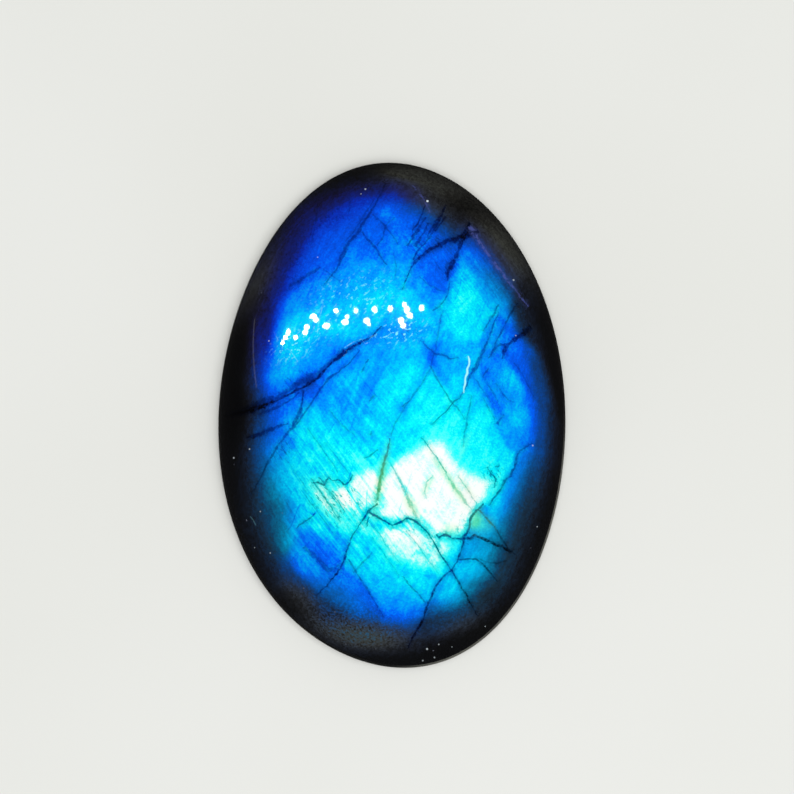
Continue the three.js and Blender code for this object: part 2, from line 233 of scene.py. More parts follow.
# Healed cracks: (darkness, [(x, y, half width in hundredths of a mm), ...])
CRACKS = [
    (1, [(-11.4, -0.1, 5), (-9.5, 0.15, 18), (-8.6, 0.4, 16), (-7.8, 0.65, 10), (-6.85, 1.1, 7),
        (-5.8, 1.55, 9), (-5.1, 1.95, 13), (-4.5, 2.5, 8), (-3.9, 3.1, 8), (-3.3, 3.6, 15),
        (-2.6, 4.05, 14), (-2, 4.35, 9), (-1.2, 4.75, 6), (-0.5, 5.5, 3)]),
    (0.5, [(-11, -0.1, 10), (-9.6, 0.2, 30), (-8.6, 0.55, 36), (-7.8, 0.85, 22), (-6.9, 1.35, 16),
        (-6.2, 1.85, 22), (-5.5, 2.05, 28), (-4.8, 2.4, 18), (-4.1, 3, 12), (-3.3, 3.7, 20),
        (-2.5, 4.15, 16), (-1.8, 4.5, 4)]),
    (0.6, [(-9, -0.2, 10), (-7.6, 0.25, 8), (-6.7, 0.75, 5), (-6.1, 1.2, 3)]),
    (0.65, [(-2, 3.9, 2), (-2.8, 3, 4), (-3.4, 2.5, 6), (-4.2, 2, 7), (-4.7, 1.3, 6), (-5.1, 0.8, 7),
        (-5.5, 0.2, 6), (-5.9, -0.3, 5), (-6.3, -0.9, 7), (-6.9, -1.4, 9), (-7.5, -2.1, 7),
        (-8.1, -3, 8), (-8.6, -3.8, 6), (-9, -4.6, 5), (-9.7, -5.6, 2)]),
    (0.85, [(-5.85, 1.4, 3), (-5.95, 0.6, 6), (-6.1, 0, 9), (-6.3, -0.5, 10), (-6.7, -1.2, 10)]),
    (0.75, [(-6.9, -0.9, 2), (-7.8, -1.1, 11), (-8.5, -1.4, 15), (-9.2, -1.6, 15), (-9.9, -1.7, 5)]),
    (0.32, [(3.6, 6.6, 3), (3.4, 5.9, 5), (3.2, 4.9, 5), (3, 3.8, 5), (2.7, 2.6, 5), (2.1, 1.6, 7),
        (1.6, 0.9, 7), (1.1, 0.2, 5), (0.7, -0.4, 5), (0.2, -1.1, 5), (-0.1, -2, 3)]),
    (0.65, [(-0.1, -2, 3), (-0.25, -2.6, 6), (-0.4, -3.2, 7), (-0.7, -4.2, 9), (-0.9, -5.3, 10),
        (-1.1, -6.3, 6)]),
    (0.9, [(-1, -6.4, 5), (-1.7, -6.9, 8), (-2.3, -7.8, 2.5), (-2.8, -8.5, 4), (-3.1, -9.3, 6),
        (-3.4, -10.2, 8), (-3.9, -11, 6), (-4.7, -11.9, 5), (-5.4, -12.5, 3)]),
    (1, [(-1.7, -6.9, 7), (-1.1, -7.3, 7), (-0.5, -7.6, 6), (-0.1, -7.9, 6), (0.4, -7.7, 6), (0.9, -7.4, 6),
        (1.6, -7.7, 6), (2.2, -8.3, 5), (2.6, -8.9, 4), (3, -9.7, 4), (3.5, -10.4, 5), (3.9, -11.1, 5),
        (4.4, -11.9, 6), (4.8, -12.6, 6), (5.2, -13.4, 4), (5.6, -14.1, 1)]),
    (0.75, [(9.5, -2.4, 2), (8.6, -3, 7), (8.4, -3.4, 8), (8.2, -4.1, 6), (7.9, -4.7, 8), (7.5, -5, 8),
        (7.2, -5.6, 7), (6.8, -6.1, 6), (6.4, -6.7, 4)]),
    (0.95, [(6.1, -6.5, 4), (5.7, -6.8, 8), (5.2, -7.4, 8), (5, -8.2, 7), (4.7, -8.7, 10), (4.6, -9.3, 6),
        (4.4, -9.9, 6), (4.2, -10.4, 5), (3.8, -10.9, 5), (3.3, -11.3, 5), (2.7, -12, 6),
        (2.4, -12.8, 6), (2.1, -13.4, 7), (1.9, -14.1, 8), (1.5, -14.8, 8), (1.1, -15.4, 7),
        (0.8, -16.2, 2)]),
    (1, [(2.8, -8.5, 2), (3, -8.75, 5), (3.4, -8.5, 7), (3.9, -8.8, 6), (4.5, -8.8, 7), (5.1, -8.85, 10),
        (5.4, -8.6, 10), (6.1, -8.9, 9), (6.8, -9.2, 10), (7.3, -9.4, 10), (8, -9.8, 4)]),
    (0.75, [(5.7, -6.9, 5), (6.2, -7.4, 6), (6.7, -8, 5), (7.2, -8.8, 7), (7.7, -9.5, 6), (8.2, -10, 2)]),
    (0.85, [(4.2, -10.2, 5), (4.8, -10.2, 6), (5.5, -10.2, 5), (6, -10.6, 6), (6.5, -11.2, 5),
        (7, -11.8, 1)]),
    (0.5, [(5.6, -10.1, 2), (6.2, -10.4, 5), (7, -10.5, 5), (7.6, -10.3, 2)]),
    (0.65, [(7.4, 6.5, 2), (6.9, 5.3, 6), (6.5, 4.3, 6), (6.2, 3.6, 8), (5.95, 3.1, 13), (5.6, 2.5, 12),
        (5.25, 1.9, 8), (4.95, 1.2, 5), (4.6, 0.6, 4), (4.1, 0.2, 4), (3.6, -0.4, 3), (3.1, -0.8, 2.5),
        (2.6, -1.3, 1)]),
    (0.7, [(8.7, 7.2, 5), (8, 6, 7), (7.7, 5.4, 6), (7.2, 4.5, 5), (6.9, 3.8, 5), (6.6, 3.2, 2)]),
    (0.6, [(7.4, 7, 3), (7, 6.2, 8), (6.6, 5.6, 6), (6.2, 5, 2)]),
    (0.55, [(2, 4.5, 3), (2.5, 4, 6), (3, 3.5, 7), (3.6, 3.45, 6), (4, 3.2, 7), (4.6, 3.3, 2)]),
    (0.4, [(2.6, 2.8, 5), (3, 2, 6), (3.4, 1.3, 5), (3.8, 0.6, 5), (4.1, 0.2, 6), (4.5, -0.3, 5),
        (5, -1, 3)]),
    (0.4, [(5.4, 0.8, 2), (5.3, 0.2, 4), (5.1, -0.6, 5), (5, -1.3, 6), (4.8, -2, 5), (4.75, -2.8, 1)]),
    (0.85, [(6.2, 12.2, 10), (5.2, 11.7, 22), (4.2, 11.4, 20), (3.4, 11, 14), (2.8, 10.7, 14),
        (2.3, 10.3, 10), (1.8, 9.9, 8), (1.4, 9.2, 5), (1.1, 8.5, 4), (0.85, 7.8, 2)]),
    (0.85, [(5.6, 12.8, 10), (5.1, 11.6, 14), (4.8, 10.8, 13), (4.5, 10.1, 13), (4.2, 9.5, 17),
        (3.9, 9, 12), (4, 8.5, 3)]),
    (0.55, [(4.1, 8.6, 2), (4, 7.8, 5), (3.7, 7.2, 6), (3.3, 6.7, 6), (2.8, 6.4, 3)]),
    (0.3, [(5.6, 1.9, 2), (6.2, 1, 6), (6.7, 0.2, 2)]),
    (0.3, [(6.2, 2, 2), (6.8, 1, 6), (7.2, 0.2, 2)]),
    (0.3, [(6.1, 0.6, 2), (6.6, -0.3, 6), (7, -1, 2)]),
    (0.62, [(-0.1, 15.6, 3), (-0.4, 14.9, 5), (-0.9, 13.9, 7), (-1.4, 13.1, 10), (-1.8, 12.5, 14),
        (-2.1, 11.9, 8), (-2.6, 11.4, 11), (-2.9, 10.9, 14), (-3.2, 10.2, 12), (-3.5, 9.5, 7),
        (-4, 8.9, 3), (-4.5, 8.3, 2)]),
    (0.4, [(-0.9, 14.4, 2), (-1.4, 13.6, 5), (-1.9, 12.8, 5), (-2.3, 12.1, 4), (-2.9, 11.4, 3)]),
    (0.55, [(-1.8, 12.1, 5), (-1.4, 11.5, 6), (-0.9, 10.9, 9), (-0.5, 10.2, 8), (-0.1, 9.6, 3)]),
    (0.45, [(-1.1, 13.3, 3), (-0.5, 12.8, 8), (-0.2, 12.4, 7), (-0.3, 11.7, 6), (-0.8, 11, 5)]),
    (0.35, [(0.5, 13.1, 3), (-0.2, 12.4, 6), (0.3, 11.7, 5), (0.7, 11, 3)]),
    (0.3, [(-4.8, 14.4, 2), (-4.9, 13.2, 5), (-5.1, 12, 4), (-5.3, 11.3, 2)]),
    (0.3, [(-2.5, 14.9, 2), (-2.6, 14, 4), (-2.7, 13.4, 2)]),
    (0.25, [(-4.5, 9.6, 3), (-3.8, 9, 6), (-3.1, 8.5, 3)]),
    (0.25, [(0.3, 10.6, 2), (0.5, 9.6, 5), (0.4, 8.6, 2)]),
    (0.85, [(9.6, 5.6, 16), (9, 5, 18), (8.5, 4.65, 14), (8.1, 4.35, 12), (7.75, 4.1, 14), (7.65, 3.7, 10),
        (7.5, 3.2, 4)]),
    (0.7, [(7.8, 4.2, 6), (7.3, 4.15, 8), (6.95, 3.8, 8), (6.75, 3.35, 3)]),
    (0.45, [(-6.1, -9.1, 10), (-5.4, -9.7, 18), (-4.9, -10.3, 16), (-4.5, -10.8, 14), (-4, -10.7, 10),
        (-3.7, -10.4, 3)]),
    (0.6, [(-3.1, -10, 4), (-2.7, -10.7, 5), (-2.3, -11.4, 5), (-1.9, -12, 6), (-1.5, -12.7, 6),
        (-1.1, -13.4, 5), (-0.7, -14.1, 1)]),
    (0.5, [(1.9, -2, 2), (2.5, -2.8, 5), (3.2, -3.8, 5), (3.6, -4.5, 3)]),
    (0.25, [(3.5, -4.4, 5), (4.2, -5.5, 12), (4.8, -6.4, 10), (5.3, -7, 2)]),
    (0.28, [(-0.2, -3.6, 2), (0.2, -4.4, 6), (0.6, -5.2, 8), (0.9, -5.9, 10), (1.2, -6.6, 14),
        (1.6, -7.4, 6)]),
    (0.3, [(2.75, -4.6, 3), (2.3, -5, 4), (2.1, -5.6, 4), (2.2, -6.2, 2)]),
    (0.35, [(4.3, -4.5, 2), (4.8, -5.3, 5), (5.2, -5.9, 5), (5.6, -6.6, 2)]),
    (0.7, [(-5.2, -6.9, 3), (-5.6, -7.3, 6), (-6.1, -7.55, 6), (-6.6, -7.9, 2)]),
    (0.8, [(-5.5, -4.9, 1), (-5, -4.9, 6), (-4.6, -5.1, 4), (-4.3, -4.6, 4), (-4, -4.8, 2),
        (-3.6, -4.8, 3.5), (-3.2, -5.1, 8), (-2.9, -4.9, 5), (-2.6, -4.4, 1)]),
    (0.45, [(-6.8, 8.5, 8), (-6.1, 8.8, 16), (-5.6, 9.1, 12), (-5.1, 9.4, 12), (-4.6, 9.7, 6)]),
    (0.7, [(1.8, 10.9, 12), (2.1, 11.4, 10), (2.5, 12.1, 7), (2.8, 12.7, 4)]),
    (0.7, [(2.6, 11.6, 5), (3.1, 12.4, 10), (3.6, 13.2, 10), (4, 14, 5)]),
    (0.8, [(1.6, 12, 2), (2, 12.6, 5), (2.3, 13.2, 5), (2.6, 14, 2)]),
    (0.8, [(3.2, 12, 3), (3.6, 12.6, 6), (4, 13.2, 5)]),
    (0.75, [(1.2, 10.9, 5), (1.7, 11.6, 10), (2.2, 12.4, 8), (2.6, 13.1, 4)]),
    (0.75, [(2.3, 10.9, 4), (2.8, 11.6, 8), (3.3, 12.4, 7), (3.7, 13.2, 4)]),
    (0.8, [(1.6, 9.9, 5), (1.9, 10.5, 7), (2.3, 11, 3)]),
    (0.35, [(3.1, 9.9, 3), (3.5, 9.3, 6), (3.9, 8.9, 4)]),
    (0.35, [(2, 8.9, 2), (2.6, 8.3, 5), (3.3, 7.9, 5), (4, 7.8, 2)]),
    (0.5, [(1.3, 0.5, 3), (0.9, 0.1, 8), (0.6, -0.1, 4)]),
    (0.5, [(-1, 0.9, 4), (-1.3, 0.6, 8), (-1.5, 0.4, 3)]),
    (0.45, [(-1.3, -1.6, 4), (-1.5, -1.9, 6)]),
    (0.3, [(-4.2, -0.1, 2), (-3.6, -0.8, 5), (-3, -1.4, 5), (-2.4, -1.9, 1)]),
    (0.3, [(-5.7, -1.2, 2), (-5, -2.2, 4), (-4.4, -3.1, 4), (-3.6, -4.3, 4)]),
    (0.4, [(-1.9, -3.4, 4), (-1.5, -3.2, 5), (-0.9, -2.8, 3)]),
    (0.45, [(-1.4, 3.3, 2), (-1.7, 2.8, 5), (-2, 2.3, 2)]),
    (0.7, [(6.3, -4, 2), (6.6, -4.5, 4), (6.9, -4.9, 6), (6.8, -5.5, 3)]),
    (0.7, [(7.2, -4, 5), (6.8, -4.1, 5)]),
    (0.45, [(0.5, -11.2, 4), (1, -11.9, 5), (1.5, -12.4, 5), (2.1, -13.1, 5)]),
    (0.5, [(7.6, -0.5, 3), (7.3, -0.8, 6), (7.05, -1.3, 6)]),
    (0.5, [(6.1, 1.9, 3), (6.4, 2.3, 6), (6.6, 2.6, 3)]),
    (0.4, [(7, 1.6, 3), (7.4, 1, 6), (7.9, 0.4, 5), (8.3, 0.3, 2)]),
    (0.35, [(8.3, 3, 3), (8.9, 2.2, 6), (9.3, 1.4, 5), (9.7, 0.6, 2)]),
    (0.7, [(-1.6, -7.2, 4), (-1.8, -7.7, 5), (-1.75, -8, 2)]),
    (0.5, [(-5.5, -4.6, 2), (-4.8, -5.6, 4), (-4.2, -6.5, 4), (-3.5, -7.6, 2)]),
    (0.5, [(-5, -4.5, 2), (-4.3, -5.4, 4), (-3.7, -6.2, 4), (-3.2, -7, 2)]),
    (0.35, [(-6.2, -5.3, 1), (-5.4, -6.4, 3), (-4.8, -7.2, 3), (-3.9, -8.5, 1)]),
    (0.3, [(-7.2, -3.2, 1), (-6.3, -4.5, 3), (-5.6, -5.6, 1)]),
    (0.3, [(-4.5, -2.2, 1), (-3.5, -3.6, 3), (-2.9, -4.4, 1)]),
    (0.3, [(-2.4, -6.4, 1), (-1.2, -8.1, 3), (-0.3, -9.5, 3), (0.5, -10.6, 1)]),
    (0.3, [(-1.5, -8.6, 1), (-0.6, -9.9, 3), (0.4, -11.3, 2)]),
    (0.3, [(0.8, -8.2, 2), (1.6, -9.2, 3), (2.2, -10.2, 3), (3, -11.2, 2)]),
    (0.35, [(-2.8, -11, 3), (-2.2, -10.4, 8), (-1.7, -9.9, 8), (-1.4, -9.6, 3)]),
]
# Places where light catches an open crack, in the same form
GLINTS = [
    (1, [(5.2, 3.4, 1), (5.28, 3.1, 5), (5.27, 2.8, 3.5), (5.13, 2.5, 5), (5.13, 2.2, 6), (4.98, 1.9, 3.5),
        (4.97, 1.5, 4.5), (4.87, 1.2, 3), (4.85, 0.85, 1)]),
    (0.5, [(-3.2, 3.5, 0), (-2.6, 3.83, 1.5), (-2, 4.12, 1.5), (-1.4, 4.4, 0)]),
    (0.5, [(-3.1, 4.05, 0), (-2.5, 4.4, 1.2), (-1.9, 4.62, 0)]),
    (0.45, [(-4.5, 6.9, 0), (-4.7, 6.2, 2), (-4.8, 5.6, 2), (-4.9, 5, 0)]),
    (0.4, [(-7.9, 5.5, 0), (-7.7, 5.1, 1.5), (-7.5, 4.7, 0)]),
    (0.3, [(-6.9, 4.2, 0), (-6.5, 3.7, 1.5), (-6.2, 3.2, 0)]),
    (0.12, [(-9.8, -6.9, 0), (-9.5, -7.3, 2), (-9.3, -7.7, 0)]),
]
# Lilac seams at the upper right edge of the flash, in the same form
SEAMS = [
    (0.35, [(1.7, 15.5, 2), (2.2, 14.8, 7), (2.6, 14.1, 6), (2.9, 13.3, 3)]),
    (0.25, [(7, 11.2, 5), (7.7, 10.2, 7), (8.4, 9.2, 3)]),
    (0.5, [(5.5, 12.5, 10), (5.85, 12, 20), (6.1, 11.5, 10), (6.6, 10.7, 8), (7.1, 10, 10), (7.6, 9.3, 12),
        (8.2, 8.5, 8), (8.9, 7.6, 7), (9.5, 6.9, 2)]),
]
CRACK_WIDTH_UNIT = 0.01
# How far from a crack its field reaches, and the half width that stands for no crack there
CRACK_REACH = 0.7
CRACK_END = -0.1
# Below this distance two places are one, and this many points of each stretch show how near two cracks are
SAME_PLACE = 1e-6
ROUTE_SAMPLES = 8
# Bright pits and dust under the polish, their brightness a painted glint: (x, y, radius, strength)
GLINTING_SPECKS = [
    (2.72, 14.24, 0.11, 1), (-9.65, -2.47, 0.07, 0.5), (-10.8, -2.98, 0.08, 0.6), (-9, -6.7, 0.06, 0.5),
    (-1.5, 15.2, 0.09, 0.5), (-1.8, 14.85, 0.06, 0.4), (8.48, 8.75, 0.09, 0.5), (9.75, -8.05, 0.06, 0.4),
    (2.1, -16.2, 0.09, 0.6), (2.6, -16.8, 0.08, 0.4), (2.9, -15.9, 0.07, 0.4), (3.8, -16.1, 0.06, 0.3),
    (1.8, -17, 0.08, 0.4), (6.1, -14.75, 0.06, 0.4), (8.5, 4.85, 0.06, 0.5), (9.5, -2.6, 0.08, 0.5),
    (-8.2, 4.8, 0.07, 0.5), (-4.8, 10.4, 0.06, 0.5), (-9.5, -9.1, 0.06, 0.4), (-8.4, -9.5, 0.06, 0.5),
]

# Small lamps mirrored in the dome: (x, y, half width, half height) of each bright spot
LAMP_SPOTS = [
    (-7.25, 4.6, 0.14, 0.16), (-7.05, 4.95, 0.17, 0.16), (-6.85, 5.3, 0.16, 0.22), (-6.35, 4.9, 0.17, 0.16),
    (-5.7, 5.2, 0.18, 0.17), (-5.6, 5.55, 0.2, 0.2), (-5.15, 6.3, 0.24, 0.18), (-4.95, 6.05, 0.18, 0.2),
    (-4.25, 5.6, 0.26, 0.2), (-3.6, 6.6, 0.17, 0.17), (-3, 5.8, 0.25, 0.2), (-2.85, 6.15, 0.14, 0.16),
    (-2.25, 6.55, 0.15, 0.17), (-1.55, 5.85, 0.22, 0.2), (-1.4, 5.6, 0.12, 0.12), (-1, 6.6, 0.18, 0.22),
    (0.05, 6.65, 0.18, 0.22), (1, 6.9, 0.15, 0.2), (1.15, 6.55, 0.2, 0.26), (1.35, 6.15, 0.2, 0.22),
    (0.75, 5.8, 0.2, 0.24), (0.9, 5.45, 0.18, 0.18), (2.15, 6.65, 0.16, 0.22),
]
# Pale strip mirrored at the left edge of the dome: (x, y, half width, half height, brightness)
MIRRORED_STRIP = (-9.3, 4, 0.045, 2.6, 0.55)

# Colour of the flash by its brightness: the usual blue run, and the runs of its tinted edges
BLUE_RUN = [
    (0, (4, 4, 5)), (0.06, (12, 13, 16)), (0.12, (20, 27, 42)), (0.19, (18, 42, 76)), (0.27, (14, 60, 124)),
    (0.33, (8, 68, 156)), (0.38, (6, 76, 186)), (0.43, (4, 82, 216)), (0.5, (0, 98, 250)),
    (0.6, (0, 158, 252)), (0.7, (0, 220, 252)), (0.76, (8, 250, 252)), (0.85, (90, 252, 248)),
    (0.93, (200, 253, 248)), (1, (250, 255, 252)),
]
TEAL_RUN = [
    (0, (4, 4, 5)), (0.06, (13, 14, 15)), (0.1, (20, 26, 32)), (0.2, (24, 50, 68)), (0.26, (14, 64, 98)),
    (0.34, (10, 92, 130)), (0.42, (6, 118, 160)), (0.5, (4, 144, 196)), (0.6, (0, 178, 232)),
    (0.7, (0, 222, 252)), (0.85, (90, 252, 248)), (1, (250, 255, 252)),
]
VIOLET_RUN = [
    (0, (4, 4, 5)), (0.06, (14, 13, 18)), (0.13, (20, 20, 58)), (0.19, (20, 28, 98)), (0.24, (18, 34, 124)),
    (0.32, (10, 44, 176)), (0.4, (6, 66, 214)), (0.48, (2, 86, 248)), (0.6, (0, 158, 252)),
    (0.7, (0, 220, 252)), (1, (250, 255, 252)),
]
OLIVE_RUN = [
    (0, (4, 4, 4)), (0.06, (14, 14, 13)), (0.12, (34, 34, 32)), (0.2, (58, 60, 56)), (0.27, (52, 72, 84)),
    (0.35, (26, 88, 128)), (0.5, (2, 110, 220)), (0.6, (0, 158, 250)), (1, (250, 255, 252)),
]
GREEN_RUN = [
    (0.3, (4, 84, 78)), (0.5, (20, 176, 140)), (0.65, (78, 218, 132)), (0.8, (136, 232, 144)),
    (1, (196, 246, 192)),
]
# Colour of a healed crack by the flash round it
CRACK_RUN = [
    (0, (2, 2, 4)), (0.1, (3, 6, 18)), (0.2, (3, 12, 46)), (0.33, (0, 22, 88)), (0.45, (0, 36, 124)),
    (0.55, (0, 56, 160)), (0.65, (0, 88, 164)), (0.75, (0, 106, 134)), (0.9, (6, 114, 112)),
    (1, (40, 140, 128)),
]
TEAL_CRACK_RUN = [
    (0, (2, 3, 6)), (0.2, (2, 18, 32)), (0.4, (0, 50, 78)), (0.6, (0, 92, 118)), (0.8, (0, 104, 118)),
]
# Colour of the ground girdle and back by its tone, and of their lower right side, paler with painted light
DARK_GROUND_RUN = [(0.3, (20, 21, 21)), (0.5, (32, 33, 32)), (0.62, (46, 46, 44)), (0.75, (36, 43, 47))]
LIT_GROUND_RUN = [(0.3, (76, 77, 72)), (0.5, (104, 104, 97)), (0.65, (132, 131, 121))]
# Colours of single marks, and of the table
GREEN_CRACK = (84, 160, 66)
SEAM_LILAC = (84, 96, 176)
GLINT_WHITE = (170, 246, 250)
SCRATCH_GLINT_CYAN = (140, 250, 252)
DUST_SPARKLE_GREY = (120, 124, 140)
SPECK_GLINT_WHITE = (220, 232, 240)
FLOOR_COLOURS = (216, 217, 212), (220, 221, 217)

# Directions on the plan, in degrees
STROKE_TURN = 66
TWIN_TURN = -54
SCRATCH_GLINT_TURN = 35
GROUND_TURN = 30


# Form

def outline_at(angle):
    """Points of the hand-cut outline, a slightly lopsided circle, at angles round the stone."""
    three_sided = THREE_SIDED_WAVE * np.cos(3 * (angle + THREE_SIDED_TURN))
    radius = 1 + three_sided + FOUR_SIDED_WAVE * np.sin(4 * angle)
    return radius[:, None] * np.column_stack([np.cos(angle), np.sin(angle)])


def unit_outline(count):
    """That many points of the outline, shifted and scaled to reach from -1 to 1 both ways."""
    full = outline_at(np.linspace(0, 2 * np.pi, OUTLINE_SAMPLES))
    low, high = full.min(0), full.max(0)
    return (2 * outline_at(2 * np.pi * np.arange(count) / count) - low - high) / (high - low)


def dome_height(share):
    """Height of the dome's surface, at a share of the way from its top to the girdle."""
    def rise(s):
        return (1 - (DOME_REACH * s) ** DOME_FLATNESS) ** DOME_FULLNESS
    return GIRDLE_TOP + (HEIGHT - GIRDLE_TOP) * (rise(share) - rise(1)) / (1 - rise(1))


def even_shares(rings):
    """Shares that step evenly along the dome's surface, from the top to the girdle."""
    fine = np.linspace(0, 1, PROFILE_SAMPLES)
    mean_radius = (WIDTH + LENGTH) / 4
    steps = np.hypot(np.diff(fine) * mean_radius, np.diff(dome_height(fine)))
    travelled = np.concatenate([[0], np.cumsum(steps)])
    return np.interp(np.linspace(0, travelled[-1], rings + 1), travelled, fine)


def ring(count, share, inset, z):
    """One ring of points."""
    half = np.array([WIDTH / 2 - inset, LENGTH / 2 - inset])
    return np.column_stack([share * unit_outline(count) * half, np.full(count, z)])


def stitch(inner, outer):
    """Triangles between two rings of point numbers, which may have different counts."""
    faces = []
    i = j = 0
    while i < len(inner) or j < len(outer):
        if j < len(outer) and (i == len(inner) or (j + 1) * len(inner) <= (i + 1) * len(outer)):
            faces.append((inner[i % len(inner)], outer[j], outer[(j + 1) % len(outer)]))
            j += 1
        else:
            faces.append((inner[i], outer[j % len(outer)], inner[(i + 1) % len(inner)]))
            i += 1
    return faces


def stone_surface():
    """Points, triangles, and how many of the triangles take the dome's polish."""
    rings = [np.array([[0, 0, HEIGHT]])]
    for k, share in enumerate(even_shares(DOME_RINGS)[1:], start=1):
        rings.append(ring(POINTS_PER_RING_STEP * k, share, GIRDLE_INSET, dome_height(share)))
    last_dome_ring = len(rings) - 1
    rim_count = len(rings[-1])
    for inset, z in EDGE_PROFILE:
        rings.append(ring(rim_count, 1, inset, z))
    for k in range(BACK_RINGS, 0, -1):
        rings.append(ring(POINTS_PER_RING_STEP * k, (k - 0.5) / BACK_RINGS, inset, 0))
    rings.append(np.zeros((1, 3)))
    starts = np.cumsum([0] + [len(r) for r in rings])
    numbers = [list(range(start, end)) for start, end in zip(starts, starts[1:])]
    faces = []
    for k in range(1, len(rings)):
        faces += stitch(numbers[k - 1], numbers[k])
        if k == last_dome_ring:
            polished_faces = len(faces)
    faces = [face for face in faces if len(set(face)) == 3]
    return np.concatenate(rings), faces, polished_faces


# Fields on the plan

def smooth_step(low, high, value):
    """0 at low and 1 at high, which may be the smaller of the two."""
    t = np.clip((value - low) / (high - low), 0, 1)
    return t * t * (3 - 2 * t)


def patches_at(patches, x, y):
    """Sum of soft oval patches."""
    total = np.zeros_like(x)
    for middle_x, middle_y, along, across, turn, strength in patches:
        c, s = math.cos(math.radians(turn)), math.sin(math.radians(turn))
        u = ((x - middle_x) * c + (y - middle_y) * s) / along
        v = ((y - middle_y) * c - (x - middle_x) * s) / across
        total += strength * np.exp(-(np.hypot(u, v) ** PATCH_FALL))
    return total


def along_stretch(start, end, x, y):
    """The nearest point of a straight stretch as its share of the way along, and the distance to it."""
    dx, dy = end - start
    share = np.clip(((x - start[0]) * dx + (y - start[1]) * dy) / (dx * dx + dy * dy), 0, 1)
    return share, np.hypot(x - start[0] - share * dx, y - start[1] - share * dy)


def inside_distance(outline, x, y):
    """Distance to a closed outline, positive inside it."""
    corners = np.array(outline)
    nearest = np.full(x.shape, np.inf)
    inside = np.zeros(x.shape, bool)
    for start, end in zip(corners, np.roll(corners, -1, axis=0)):
        nearest = np.minimum(nearest, along_stretch(start, end, x, y)[1])
        (ax, ay), (bx, by) = start, end
        if ay != by:
            inside ^= ((ay > y) != (by > y)) & (x < (bx - ax) * (y - ay) / (by - ay) + ax)
    return np.where(inside, nearest, -nearest)


def flash_brightness(x, y):
    """Brightness of the flash, and of the dark stone where it has faded out, with the painted rim sheen."""
    levels = np.array(FLASH_LEVELS)
    brightness = np.interp(y, levels[:, 0], levels[:, 1]) + patches_at(PATCHES, x, y)
    for change, softness, outline in BLOCKS:
        brightness += change * smooth_step(-softness, softness, inside_distance(outline, x, y))
    inside = inside_distance(FLASH_EDGE, x, y)
    steepness = np.where(inside > 0, FADE_INSIDE, FADE_OUTSIDE)
    left = FADE_REST + (1 - FADE_REST) / (1 + np.exp(-steepness * inside))
    # Outside the flash: the stone's dark tone, partly a painted sheen of reflected light on the rim
    return brightness * left + patches_at(BODY_TONE_AND_RIM_SHEEN, x, y) * smooth_step(0.5, -1.5, inside)


def crack_at(points, x, y):
    """Signed distance to a crack, and its half width there: CRACK_END past its ends and out of its reach."""
    route = np.array(points) * [1, 1, CRACK_WIDTH_UNIT]
    nearest = np.full(x.shape, np.inf)
    side = np.zeros_like(x)
    half_width = np.full(x.shape, CRACK_END)
    for start, end in zip(route, route[1:]):
        share, distance = along_stretch(start[:2], end[:2], x, y)
        closer = distance < nearest
        nearest = np.where(closer, distance, nearest)
        (ax, ay, aw), (bx, by, bw) = start, end
        sign = np.where((bx - ax) * (y - ay) - (by - ay) * (x - ax) < 0, -1, 1)
        side = np.where(closer, sign * distance, side)
        half_width = np.where(closer, aw + (bw - aw) * share, half_width)
    gone = nearest > CRACK_REACH
    for (end_x, end_y, _), (next_x, next_y, _) in ((route[0], route[1]), (route[-1], route[-2])):
        beyond = (x - end_x) * (next_x - end_x) + (y - end_y) * (next_y - end_y) < 0
        gone |= beyond & (np.hypot(x - end_x, y - end_y) <= nearest + SAME_PLACE)
    return side, np.where(gone, CRACK_END, half_width)


def far_apart(one, other):
    """Whether two cracks' fields keep clear of each other."""
    fine = []
    for _, points in (one, other):
        route = np.array(points)[:, :2]
        steps = [np.linspace(p, q, ROUTE_SAMPLES) for p, q in zip(route, route[1:])]
        fine.append(np.concatenate(steps))
    gaps = fine[0][:, None] - fine[1][None]
    return np.hypot(gaps[..., 0], gaps[..., 1]).min() > 2 * CRACK_REACH


def crack_groups(cracks):
    """Cracks sorted into groups in which no two come near each other, so that a group can share one field."""
    groups = []
    for crack in cracks:
        for group in groups:
            if all(far_apart(crack, other) for other in group):
                group.append(crack)
                break
        else:
            groups.append([crack])
    return groups


def group_field(group, x, y):
    """(signed distance, half width, darkness) of the group's nearest crack."""
    field = np.tile([CRACK_REACH, CRACK_END, 0], (len(x), 1))
    for darkness, points in group:
        side, half_width = crack_at(points, x, y)
        near = half_width > CRACK_END
        field[near] = np.column_stack([side, half_width, np.full(x.shape, darkness)])[near]
    return field


def waviness(x, y):
    """Slight unevenness of the hand-polished dome."""
    waves = np.sin(0.9 * x + 0.5 * y + 1) + np.sin(0.7 * y - 0.6 * x + 2) + np.sin(1.3 * x - 0.3 * y)
    return POLISH_WAVE * waves


# Mesh

def put_in_scene(name, data):
    """An object in the scene."""
    thing = bpy.data.objects.new(name, data)
    bpy.context.scene.collection.objects.link(thing)
    return thing


def store(mesh, name, values):
    """Keep a number or a vector for each point, for the materials to read."""
    kind, key = ("FLOAT", "value") if values.ndim == 1 else ("FLOAT_VECTOR", "vector")
    layer = mesh.attributes.new(name, kind, "POINT")
    layer.data.foreach_set(key, values.astype(np.float32).ravel())


